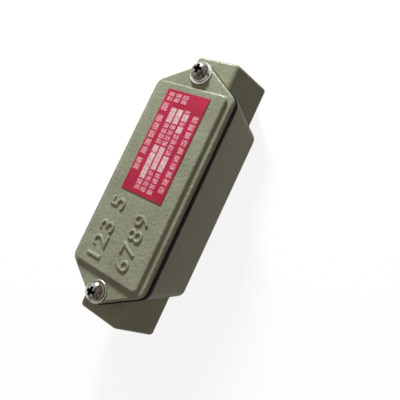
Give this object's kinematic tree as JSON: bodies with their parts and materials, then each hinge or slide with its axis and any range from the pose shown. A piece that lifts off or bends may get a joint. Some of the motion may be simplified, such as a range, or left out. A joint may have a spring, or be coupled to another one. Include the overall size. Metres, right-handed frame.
{
  "type": "explosion-proof junction box",
  "caption": "Straight-through cast conduit junction box with hexagonal threaded hubs, a gasketed cover held by two screws, and an earth terminal inside.",
  "frame": {"origin": "centre of the flat base, midway between the two hubs", "axes": "+Y along the conduit run towards the nameplate's end, +Z out of the cover, +X to the right"},
  "size_m": [0.048, 0.146, 0.0545],
  "materials": {
    "cast_enamel": "sage grey hammered enamel, satin",
    "gasket_rubber": "matt black rubber",
    "plate_red": "printed crimson, semi-gloss",
    "bright_steel": "bright nickel-plated",
    "earth_brass": "plain brass"
  },
  "bodies": {
    "root": {"body": "cast_enamel", "cover": "cast_enamel", "gasket": "gasket_rubber", "nameplate": "plate_red", "cover_screws": "bright_steel", "cover_spring_washers": "bright_steel", "cover_flat_washers": "bright_steel", "earth_screw": "earth_brass", "earth_spring_washer": "earth_brass", "earth_clamp": "earth_brass"}
  },
  "joints": []
}
